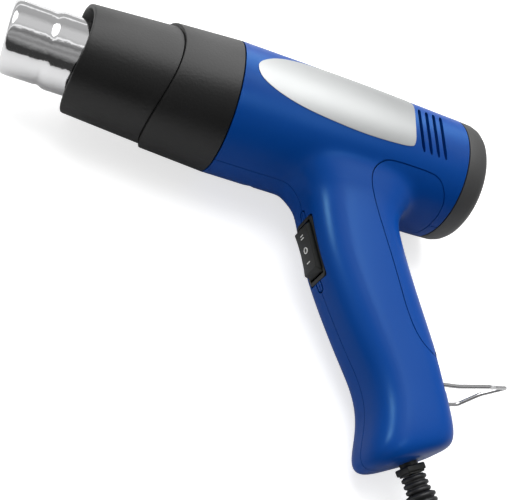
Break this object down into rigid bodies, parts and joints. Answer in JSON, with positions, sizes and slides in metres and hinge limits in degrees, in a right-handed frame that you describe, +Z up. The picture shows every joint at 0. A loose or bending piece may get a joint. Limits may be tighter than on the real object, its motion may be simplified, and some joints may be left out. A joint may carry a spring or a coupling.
{
  "type": "hot air tool",
  "caption": "Electric hot air tool lying on its side: barrel with chrome nozzle in a dark guard collar, blue pistol grip with rocker switch, fold-out wire stand and mains cord.",
  "frame": {"origin": "bottom centre of the tool's own bounding box, without its cord, on the surface it lies on", "axes": "+X back along the barrel from nozzle to rear cap, +Y from the handle's foot towards the barrel, +Z up from the surface; the tool lies on its right side, rolled 5.6 degrees about the barrel"},
  "size_m": [0.2446, 0.3826, 0.06],
  "materials": {
    "blue_plastic": "semi-gloss moulded blue",
    "charcoal_plastic": "matt charcoal, fine grain",
    "black_plastic": "satin black",
    "black_rubber": "satin black flexible",
    "chrome_steel": "polished",
    "plain_steel": "zinc plated",
    "silver_foil": "satin silver foil",
    "copper_winding": "copper laminations and wire",
    "brass": "plain",
    "mica": "pressed mica",
    "circuit_board": "green board",
    "ivory_plastic": "heat resisting ivory moulding",
    "lead_brown": "brown insulation",
    "lead_blue": "blue insulation",
    "lead_red": "red insulation"
  },
  "bodies": {
    "housing": {"housing_left": "blue_plastic", "housing_right": "blue_plastic", "grip_back": "blue_plastic", "nameplate_left": "silver_foil", "nameplate_right": "silver_foil", "guard_ring_front": "charcoal_plastic", "guard_ring_rear": "charcoal_plastic", "nozzle": "chrome_steel", "rear_cap": "charcoal_plastic", "switch_body": "black_plastic", "motor_can": "plain_steel", "motor_bracket": "ivory_plastic", "motor_bearing_front": "brass", "motor_bearing_rear": "brass", "heater_cross": "mica", "heater_winding": "plain_steel", "heater_sleeve": "mica", "heater_disc": "mica", "heater_base": "mica", "thermal_cutout": "plain_steel", "rectifier_board": "circuit_board", "smoothing_capacitor": "black_plastic", "cord_gland": "black_plastic", "cord_boot": "black_rubber", "cord_inside": "black_rubber", "clamp_plate": "ivory_plastic", "stand_hinge": "black_plastic", "switch_terminal_1": "brass", "switch_terminal_2": "brass", "switch_terminal_3": "brass", "clamp_screw_1": "plain_steel", "clamp_screw_2": "plain_steel", "housing_screw_1": "plain_steel", "housing_screw_2": "plain_steel", "housing_screw_3": "plain_steel", "housing_screw_4": "plain_steel", "housing_screw_5": "plain_steel", "lead_supply": "lead_brown", "lead_heater": "lead_blue", "lead_motor": "lead_red", "cord_lead": "black_rubber", "cord_coil": "black_rubber", "plug_body": "black_rubber", "plug_pin_1": "brass", "plug_pin_2": "brass"},
    "rotor": {"motor_shaft": "plain_steel", "motor_armature": "copper_winding", "fan": "ivory_plastic"},
    "rocker": {"switch_rocker": "black_plastic"},
    "stand": {"wire_stand": "plain_steel"}
  },
  "joints": [
    {"name": "rotor_spin", "type": "hinge", "parent": "housing", "child": "rotor", "pos_m": [0.04, 0.0748, 0.02995], "axis": [1, 0, 0], "continuous": true},
    {"name": "rocker_tilt", "type": "hinge", "parent": "housing", "child": "rocker", "pos_m": [0.02372, 0.0147, 0.02401], "axis": [0, -0.0983, 0.9952], "range_deg": [-10, 10]},
    {"name": "stand_fold", "type": "hinge", "parent": "housing", "child": "stand", "pos_m": [0.07139, -0.03785, 0.01882], "axis": [0, -0.0983, 0.9952], "range_deg": [0, 55]}
  ]
}
